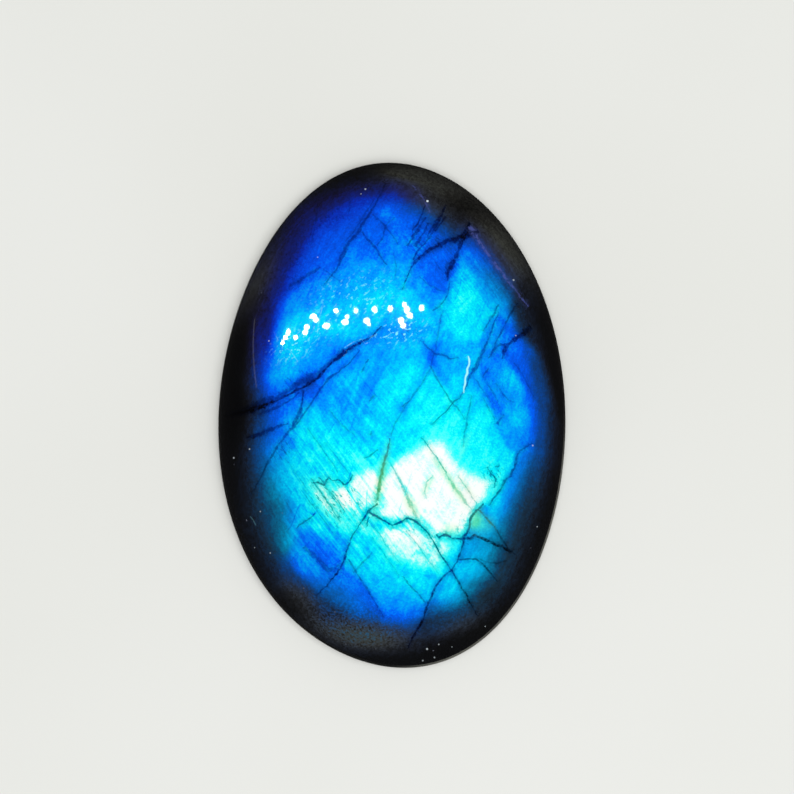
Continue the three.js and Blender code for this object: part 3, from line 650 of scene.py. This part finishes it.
def make_stone():
    """The stone's mesh with its fields, and material 0 where it is polished and 1 on the girdle and back."""
    points, faces, polished_faces = stone_surface()
    x, y, z = points.T
    rise = np.where(z > GIRDLE_TOP, waviness(x, y) * smooth_step(0, 1, z - GIRDLE_TOP), 0)
    points = points + rise[:, None] * [0, 0, 1]
    mesh = bpy.data.meshes.new("labradorite_cabochon")
    mesh.from_pydata(points * MM, [], faces)
    mesh.polygons.foreach_set("use_smooth", np.ones(len(faces), bool))
    mesh.polygons.foreach_set("material_index", (np.arange(len(faces)) >= polished_faces).astype(np.int32))
    store(mesh, "flash", flash_brightness(x, y))
    for name, patches in {
        "teal": TEAL_PATCHES, "olive": OLIVE_PATCHES, "violet": VIOLET_PATCHES, "twins": TWIN_PATCHES,
        "sand": SAND_PATCHES, "stipple": STIPPLE_PATCHES, "green": GREEN_PATCHES, "scratch_glint": SCRATCH_GLINT_PATCHES,
        "dust_and_sparkle": DUST_AND_SPARKLE_PATCHES,
    }.items():
        store(mesh, name, np.minimum(patches_at(patches, x, y), 1))
    groups = {f"cracks_{k}": group for k, group in enumerate(CRACK_GROUPS)}
    for name, group in {**groups, "glints": GLINTS, "seams": SEAMS}.items():
        store(mesh, name, group_field(group, x, y))
    add_bake_map(mesh, points, faces)
    return put_in_scene("labradorite_cabochon", mesh)


def add_bake_map(mesh, points, faces):
    """A flat map of the surface: the dome and girdle as one oval, the back as a smaller one beside it."""
    share = np.hypot(points[:, 0] / (WIDTH / 2), points[:, 1] / (LENGTH / 2))
    down = 2 * (HEIGHT - points[:, 2]) / (WIDTH + LENGTH) * SIDE_SPREAD
    front = points[:, :2] * (1 + down / np.maximum(share, 0.01))[:, None]
    front_map = front / (2 * np.abs(front).max()) * FRONT_MAP_SIZE + FRONT_MAP_MIDDLE
    back_map = points[:, :2] / LENGTH * BACK_MAP_SIZE + BACK_MAP_MIDDLE
    corners = np.array(faces)
    on_back = points[corners, 2].max(1) < BACK_TOP
    uv = np.where(on_back[:, None, None], back_map[corners], front_map[corners])
    layer = mesh.uv_layers.new(name="OFBake")
    layer.uv.foreach_set("vector", uv.astype(np.float32).ravel())


# Materials

def linear(red, green, blue):
    """A display colour, 0 to 255, as the light values that a shader takes."""
    def one(value):
        v = value / 255
        return v / 12.92 if v <= 0.04045 else ((v + 0.055) / 1.055) ** 2.4
    return (one(red), one(green), one(blue), 1)


class Graph:
    """Short calls that add shader nodes to a material and link them."""

    def __init__(self, name):
        self.material = bpy.data.materials.new(name)
        self.material.use_nodes = True
        self.tree = self.material.node_tree
        self.tree.nodes.clear()
        self.surface = self.add("ShaderNodeBsdfPrincipled", {})
        self.add("ShaderNodeOutputMaterial", {"Surface": self.surface.outputs[0]})

    def add(self, kind, inputs, **settings):
        """A node with those settings. Its inputs, by name or number, take values or other nodes' outputs."""
        node = self.tree.nodes.new(kind)
        for name, value in settings.items():
            setattr(node, name, value)
        self.feed(node, inputs)
        return node

    def feed(self, node, inputs):
        for key, value in inputs.items():
            if isinstance(value, bpy.types.NodeSocket):
                self.tree.links.new(value, node.inputs[key])
            else:
                node.inputs[key].default_value = value

    def math(self, operation, *values, clamp=False):
        inputs = dict(enumerate(values))
        return self.add("ShaderNodeMath", inputs, operation=operation, use_clamp=clamp).outputs[0]

    def times(self, first, second, clamp=False):
        return self.math("MULTIPLY", first, second, clamp=clamp)

    def plus(self, first, second, clamp=False):
        return self.math("ADD", first, second, clamp=clamp)

    def minus(self, first, second):
        return self.math("SUBTRACT", first, second)

    def times_plus(self, first, second, third, clamp=False):
        return self.math("MULTIPLY_ADD", first, second, third, clamp=clamp)

    def attribute(self, name, output="Fac"):
        return self.add("ShaderNodeAttribute", {}, attribute_name=name).outputs[output]

    def split(self, vector):
        return self.add("ShaderNodeSeparateXYZ", {0: vector}).outputs

    def plan(self):
        """The place on the stone in mm."""
        place = self.add("ShaderNodeTexCoord", {}).outputs["Object"]
        return self.add("ShaderNodeVectorMath", {0: place, "Scale": 1 / MM}, operation="SCALE").outputs[0]

    def turned(self, vector, degrees, along, across, shift=0):
        """Plan coordinates turned to run along a direction, scaled by one factor each way, and shifted."""
        angle = -math.radians(degrees)
        turn = self.add("ShaderNodeVectorRotate", {0: vector, "Angle": angle}, rotation_type="Z_AXIS")
        scale = (along, across, across)
        place = (shift, -1.7 * shift, 0.6 * shift)
        inputs = {0: turn.outputs[0], "Scale": scale, "Location": place}
        return self.add("ShaderNodeMapping", inputs).outputs[0]

    def noise(self, vector, scale, detail=2, roughness=0.5):
        inputs = {"Vector": vector, "Scale": scale, "Detail": detail, "Roughness": roughness}
        return self.add("ShaderNodeTexNoise", inputs).outputs["Fac"]

    def between(self, value, low, high, to_low=0, to_high=1):
        """A smooth step from to_low, where the value is low, to to_high, where it is high."""
        inputs = {"Value": value, "From Min": low, "From Max": high, "To Min": to_low, "To Max": to_high}
        return self.add("ShaderNodeMapRange", inputs, interpolation_type="SMOOTHSTEP").outputs[0]

    def streaks(self, turned, detail, roughness, low, high, to_low=-1, to_high=1):
        """Noise in turned coordinates, spread from to_low to to_high."""
        return self.between(self.noise(turned, 1, detail, roughness), low, high, to_low, to_high)

    def mix(self, share, first, second):
        return self.add("ShaderNodeMix", {"Factor": share, 6: first, 7: second}, data_type="RGBA").outputs[2]

    def ramp(self, value, stops):
        node = self.add("ShaderNodeValToRGB", {0: value})
        elements = node.color_ramp.elements
        while len(elements) > 1:
            elements.remove(elements[-1])
        elements[0].position, elements[0].color = stops[0][0], linear(*stops[0][1])
        for position, colour in stops[1:]:
            elements.new(position).color = linear(*colour)
        return node.outputs[0]


def crack_cover(g, name, uneven):
    """How much of the surface a group of cracks covers, times its darkness: ragged lines in a soft shade."""
    side, half_width, darkness = g.split(g.attribute(name, "Vector"))
    away = g.math("ABSOLUTE", g.plus(side, uneven["sideways"]))
    width = g.times(half_width, uneven["width"])
    strength = g.times_plus(half_width, 2, uneven["strength"], clamp=True)
    soft_edge = g.times_plus(half_width, -0.3, -0.035)
    line = g.between(g.minus(width, away), soft_edge, g.times(soft_edge, -0.9))
    line = g.times(line, g.times(strength, uneven["speckle"]))
    shade = g.between(g.minus(half_width, away), -0.34, 0.12, 0, 0.4)
    cover = g.math("MAXIMUM", line, g.times(shade, uneven["shade"]))
    return g.times(cover, darkness, clamp=True)


def thin_line(g, name, uneven, haze=0):
    """A clean thin line along a group of cracks, with a patchy haze beside it. A faint one is broken up."""
    side, half_width, strength = g.split(g.attribute(name, "Vector"))
    away = g.math("ABSOLUTE", g.times_plus(uneven["sideways"], 0.25, side))
    inwards = g.minus(half_width, away)
    beside = g.between(inwards, -0.32, 0.05, 0, haze)
    line = g.math("MAXIMUM", g.between(inwards, -0.04, 0.015), g.times(beside, uneven["shade"]))
    whole = g.plus(uneven["broken"], g.between(strength, 0.5, 0.9), clamp=True)
    return g.times(g.times(line, strength), whole, clamp=True)


def veins(g, place, turn, along, across, thickness, shift):
    """Thin wavy lines that mostly run one way, broken off here and there."""
    field = g.noise(g.turned(place, turn, along, across, shift), 1, 0.6, 0.4)
    line = g.between(g.math("ABSOLUTE", g.minus(field, 0.5)), 0, thickness, 1, 0)
    return g.times(line, g.streaks(g.turned(place, 0, 0.5, 0.5, shift + 7), 2, 0.5, 0.46, 0.62, 0, 1))


def fine_structure(g, place, flash, grain):
    """The flash's brightness with twin lines, brushed strokes, mottling, veins and grain."""
    in_flash = g.between(flash, 0.16, 0.48)
    fine_twins = g.streaks(g.turned(place, TWIN_TURN, 0.22, 4.6), 3, 0.6, 0.36, 0.64)
    broad_twins = g.streaks(g.turned(place, TWIN_TURN, 0.15, 1.5, 3), 2, 0.6, 0.36, 0.64)
    twins = g.attribute("twins")
    level = g.times_plus(g.times(g.plus(fine_twins, broad_twins), twins), 0.045, flash)
    strokes = g.streaks(g.turned(place, STROKE_TURN, 0.6, 2.6, 5), 4, 0.65, 0.34, 0.66)
    mottle = g.between(g.noise(g.turned(place, 0, 1, 1, 9), 0.95, 5, 0.62), 0.34, 0.66, -1, 1)
    stroke_veins = veins(g, place, STROKE_TURN, 0.07, 0.6, 0.016, 11)
    twin_veins = veins(g, place, TWIN_TURN, 0.06, 0.6, 0.016, 17)
    vein = g.times(g.plus(stroke_veins, twin_veins), g.plus(twins, 0.15))
    for pattern, amount in ((strokes, 0.024), (mottle, 0.024), (vein, -0.1)):
        level = g.times_plus(g.times(pattern, in_flash), amount, level)
    grain_left = g.between(flash, 0.05, 0.36, 0.25, 1)
    level = g.times_plus(grain, g.times(g.between(flash, 0.12, 0.55, 0.042, 0.03), grain_left), level)
    body_mottle = g.streaks(g.turned(place, STROKE_TURN, 2, 3.4, 29), 3, 0.65, 0.36, 0.64)
    body_amount = g.times(g.between(flash, 0.02, 0.12, 0, 0.02), g.minus(1, in_flash))
    level = g.times_plus(body_mottle, body_amount, level)
    sand_amount = g.times(g.attribute("sand"), g.between(flash, 0.08, 0.2, 0, 0.07))
    return g.math("MAXIMUM", g.times_plus(grain, sand_amount, level), 0.02)


def unevenness(g, place):
    """Noise that makes cracks wander, swell, fade and break up."""
    coarse = g.minus(g.noise(place, 1.7), 0.5)
    fine = g.minus(g.noise(place, 6, 2, 0.6), 0.5)
    return {
        "sideways": g.plus(g.times(coarse, 0.2), g.times(fine, 0.1)),
        "width": g.between(g.noise(place, 2.3, 4, 0.65), 0.32, 0.68, 0.45, 1.45),
        "strength": g.between(g.noise(place, 1.6, 5, 0.7), 0.34, 0.6, 0.55, 1),
        "shade": g.between(g.noise(place, 2.2, 6, 0.8), 0.4, 0.62, 0.1, 1),
        "speckle": g.between(g.noise(place, 5, 3, 0.7), 0.38, 0.56, 0.6, 1),
        "broken": g.between(g.noise(place, 3.2, 3, 0.7), 0.42, 0.56, 0.1, 1),
    }


def clear_of_cracks(g, place, uneven):
    """The share of the surface that cracks and pits leave clear."""
    stipple = g.streaks(g.turned(place, TWIN_TURN, 1.8, 6, 31), 3, 0.7, 0.54, 0.66, 0, 1)
    covers = [crack_cover(g, f"cracks_{k}", uneven) for k in range(len(CRACK_GROUPS))]
    covers.append(g.times(stipple, g.attribute("stipple")))
    clear, *others = [g.minus(1, cover) for cover in covers]
    for other in others:
        clear = g.times(clear, other)
    return clear


def dust_and_sparkle_share(g, place):
    """Small round motes of dust with a painted sparkle, scattered at random where there is dust."""
    cells = g.add("ShaderNodeTexVoronoi", {"Vector": place, "Scale": 1.5, "Randomness": 1})
    picked = g.between(g.split(cells.outputs["Color"])[0], 0.62, 0.95)
    mote = g.times(g.between(cells.outputs["Distance"], 0.05, 0.13, 1, 0), picked)
    return g.times(mote, g.attribute("dust_and_sparkle"))


def speck_glint_share(g, place):
    """The bright pits that have their own places, each a painted glint."""
    flat = g.add("ShaderNodeVectorMath", {0: place, 1: (1, 1, 0)}, operation="MULTIPLY").outputs[0]
    share = 0
    for x, y, radius, strength in GLINTING_SPECKS:
        away = g.add("ShaderNodeVectorMath", {0: flat, 1: (x, y, 0)}, operation="DISTANCE")
        spot = g.between(away.outputs["Value"], radius * 0.3, radius, strength, 0)
        share = g.math("MAXIMUM", spot, share)
    return share


def polished_material():
    """The polished dome: the flash and the cracks below a clear glossy coat."""
    g = Graph("polished_labradorite")
    place = g.plan()
    grain = g.between(g.noise(place, 6.5, 2, 0.7), 0.3, 0.7, -1, 1)
    level = fine_structure(g, place, g.attribute("flash"), grain)

    # Cracks, which also take some of the whiteness from the flash where they cross it
    uneven = unevenness(g, place)
    clear = clear_of_cracks(g, place, uneven)
    dark = g.minus(1, g.times(clear, clear))
    green, teal = g.attribute("green"), g.attribute("teal")
    crack_level = g.plus(level, g.between(clear, 0.03, 0.25, -0.18, 0))
    crack_colour = g.mix(teal, g.ramp(crack_level, CRACK_RUN), g.ramp(crack_level, TEAL_CRACK_RUN))
    crack_colour = g.mix(green, crack_colour, linear(*GREEN_CRACK))
    level = g.times_plus(g.times(g.between(level, 0.68, 0.92), -0.24), dark, level)

    colour = g.ramp(level, BLUE_RUN)
    tints = (g.attribute("violet"), VIOLET_RUN), (teal, TEAL_RUN), (g.attribute("olive"), OLIVE_RUN)
    for share, run in (*tints, (g.times(green, 0.65), GREEN_RUN)):
        colour = g.mix(share, colour, g.ramp(level, run))
    colour = g.mix(dark, colour, crack_colour)
    # Painted glints of the lamps, caught in the polish scratches near their mirrored spots
    scratch_glints = g.streaks(g.turned(place, SCRATCH_GLINT_TURN, 3, 5.2, 23), 2, 0.6, 0.58, 0.65, 0, 1)
    for share, mark in (
        (thin_line(g, "seams", uneven, 0.45), SEAM_LILAC),
        (thin_line(g, "glints", uneven), GLINT_WHITE),
        (g.times(g.times(scratch_glints, g.attribute("scratch_glint")), 0.8), SCRATCH_GLINT_CYAN),
        # Dust motes with a painted sparkle
        (dust_and_sparkle_share(g, place), DUST_SPARKLE_GREY),
        # Bright pits, each a painted glint
        (speck_glint_share(g, place), SPECK_GLINT_WHITE),
    ):
        colour = g.mix(share, colour, linear(*mark))

    g.feed(g.surface, {
        "Base Color": colour,
        "Metallic": g.between(level, 0.2, 0.7, 0, 0.12),
        "Roughness": g.between(grain, -1, 1, 0.42, 0.58),
        "Specular IOR Level": 0,
        "Coat Weight": 1,
        "Coat Roughness": 0.03,
        "Coat IOR": 1.5,
    })
    return g.material


def ground_material():
    """The satin finish of the girdle and the back: ground but not polished, and paler at the lower right with
    painted light.
    """
    g = Graph("ground_labradorite")
    place = g.plan()
    cloud = g.noise(place, 0.5, 4, 0.6)
    marks = g.noise(g.turned(place, GROUND_TURN, 0.5, 9), 1)
    grain = g.noise(place, 12, 2, 0.6)
    tone = g.plus(g.times(cloud, 0.6), g.plus(g.times(marks, 0.2), g.times(grain, 0.2)))
    x, y, z = g.split(place)
    # Painted light: the bevel is given a paler colour at the lower right, as if lit from there
    lower_right = g.between(g.times_plus(x, 0.7, g.times(y, -0.5)), 8.2, 10.5)
    painted_light_share = g.times(lower_right, g.between(z, 0.1, 0.4))
    height = g.plus(marks, grain)
    bump = g.add("ShaderNodeBump", {"Height": height, "Strength": 0.25, "Distance": 0.05 * MM})
    g.feed(g.surface, {
        "Base Color": g.mix(painted_light_share, g.ramp(tone, DARK_GROUND_RUN), g.ramp(tone, LIT_GROUND_RUN)),
        "Roughness": g.between(grain, 0.3, 0.7, 0.5, 0.68),
        "Normal": bump.outputs[0],
    })
    return g.material


# Scene

def placement(place, x_axis, y_axis, z_axis):
    """The matrix that puts a camera or lamp at a place, in metres, with those axes."""
    return Matrix.Translation(place) @ Matrix((x_axis, y_axis, z_axis)).transposed().to_4x4()


def make_camera():
    """The camera, over the stone and a little towards its lower end, framed as in the photo."""
    back = Vector((0, -math.cos(CAMERA_ELEVATION), math.sin(CAMERA_ELEVATION)))
    right = Vector((1, 0, 0))
    turn = Matrix.Rotation(-CAMERA_ROLL, 3, back)
    right, up = turn @ right, turn @ back.cross(right)
    off_x = (PICTURE_SIDE / 2 - STONE_MIDDLE_PIXEL[0]) / PIXELS_PER_MM
    off_y = (STONE_MIDDLE_PIXEL[1] - PICTURE_SIDE / 2) / PIXELS_PER_MM
    aim = Vector((0, 0, OUTLINE_LEVEL)) + off_x * right + off_y * up
    data = bpy.data.cameras.new("camera")
    data.sensor_fit = "HORIZONTAL"
    data.sensor_width = SENSOR_WIDTH
    data.lens = PIXELS_PER_MM * SENSOR_WIDTH * CAMERA_DISTANCE / PICTURE_SIDE
    data.clip_start = 1 * MM
    camera = put_in_scene("camera", data)
    camera.matrix_world = placement((aim + back * CAMERA_DISTANCE) * MM, right, up, back)
    bpy.context.scene.camera = camera
    return camera


def add_lamp(name, matrix, width, height, brightness, shape="RECTANGLE"):
    """An area lamp that the camera doesn't see."""
    data = bpy.data.lights.new(name, "AREA")
    data.shape = shape
    data.size, data.size_y = width, height
    face = width * height * (math.pi / 4 if shape == "ELLIPSE" else 1)
    data.energy = brightness * face * math.pi
    lamp = put_in_scene(name, data)
    lamp.matrix_world = matrix
    lamp.visible_camera = False
    return lamp


def mirror_in(stone, camera):
    """A function that gives the dome's point at a place on the plan, and the direction mirrored there."""
    def vectors(data, key):
        values = np.empty(len(data) * 3, np.float32)
        data.foreach_get(key, values)
        return values.reshape(-1, 3)

    places = vectors(stone.data.vertices, "co")
    normals = vectors(stone.data.vertex_normals, "vector")
    on_dome = places[:, 2] > GIRDLE_TOP * MM

    def look(x, y):
        away = np.hypot(places[:, 0] - x * MM, places[:, 1] - y * MM)
        weight = np.where(on_dome, np.exp(-((away / (MIRROR_REACH * MM)) ** 2)), 0)
        point = Vector((weight[:, None] * places).sum(0) / weight.sum())
        normal = Vector((weight[:, None] * normals).sum(0)).normalized()
        return point, (point - camera.matrix_world.translation).normalized().reflect(normal)
    return look


def add_mirrored_lamp(name, look, x, y, half_width, half_height, brightness, shape):
    """A lamp that the dome mirrors as a spot of that size at that place, and that lights nothing else."""
    point, direction = look(x, y)
    across = (look(x + half_width, y)[1] - look(x - half_width, y)[1]) * LAMP_DISTANCE
    along = (look(x, y + half_height)[1] - look(x, y - half_height)[1]) * LAMP_DISTANCE
    first = direction.orthogonal().normalized()
    second = direction.cross(first)
    spread = np.array([[across.dot(first), along.dot(first)], [across.dot(second), along.dot(second)]])
    turns, sizes, _ = np.linalg.svd(spread)
    x_axis = float(turns[0, 0]) * first + float(turns[1, 0]) * second
    matrix = placement(point + direction * LAMP_DISTANCE, x_axis, direction.cross(x_axis), direction)
    lamp = add_lamp(name, matrix, float(sizes[0]), float(sizes[1]), brightness, shape)
    lamp.visible_diffuse = False


def light_scene(stone, camera):
    """A softbox that lights the stone, the mirrored lamps, and an even room that is dark in a mirror."""
    target = Vector((0, 0, HEIGHT / 2 * MM))
    turn = (target - SOFTBOX_PLACE).to_track_quat("-Z", "Y").to_matrix().to_4x4()
    matrix = Matrix.Translation(SOFTBOX_PLACE) @ turn
    softbox = add_lamp("softbox", matrix, SOFTBOX_SIDE, SOFTBOX_SIDE, SOFTBOX_BRIGHTNESS)
    softbox.visible_glossy = False
    look = mirror_in(stone, camera)
    for k, spot in enumerate(LAMP_SPOTS):
        add_mirrored_lamp(f"lamp_{k}", look, *spot, LAMP_BRIGHTNESS, "ELLIPSE")
    add_mirrored_lamp("strip_0", look, *MIRRORED_STRIP, "RECTANGLE")
    world = bpy.data.worlds.new("studio")
    world.use_nodes = True
    tree = world.node_tree
    background = tree.nodes["Background"]
    background.inputs["Color"].default_value = (1, 1, 1, 1)
    rays = tree.nodes.new("ShaderNodeLightPath")
    strength = tree.nodes.new("ShaderNodeMapRange")
    tree.links.new(rays.outputs["Is Glossy Ray"], strength.inputs["Value"])
    strength.inputs["To Min"].default_value = ROOM_BRIGHTNESS
    strength.inputs["To Max"].default_value = MIRRORED_ROOM_BRIGHTNESS
    tree.links.new(strength.outputs[0], background.inputs["Strength"])
    bpy.context.scene.world = world
    bpy.context.scene.view_settings.view_transform = "Standard"


def make_floor():
    """The plain pale table."""
    far = FLOOR_REACH
    mesh = bpy.data.meshes.new("floor")
    mesh.from_pydata([(-far, -far, 0), (far, -far, 0), (far, far, 0), (-far, far, 0)], [], [(0, 1, 2, 3)])
    floor = put_in_scene("floor", mesh)
    g = Graph("pale_table")
    shade = g.between(g.noise(g.plan(), 0.02), 0.3, 0.7)
    colour = g.mix(shade, *(linear(*tone) for tone in FLOOR_COLOURS))
    g.feed(g.surface, {"Base Color": colour, "Roughness": 0.9, "Specular IOR Level": 0})
    mesh.materials.append(g.material)
    floor.visible_glossy = False


CRACK_GROUPS = crack_groups(CRACKS)
camera = make_camera()
stone = make_stone()
stone.data.materials.append(polished_material())
stone.data.materials.append(ground_material())
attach(stone, "root")
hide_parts("cabochon")
make_floor()
light_scene(stone, camera)

bpy.context.view_layer.update()
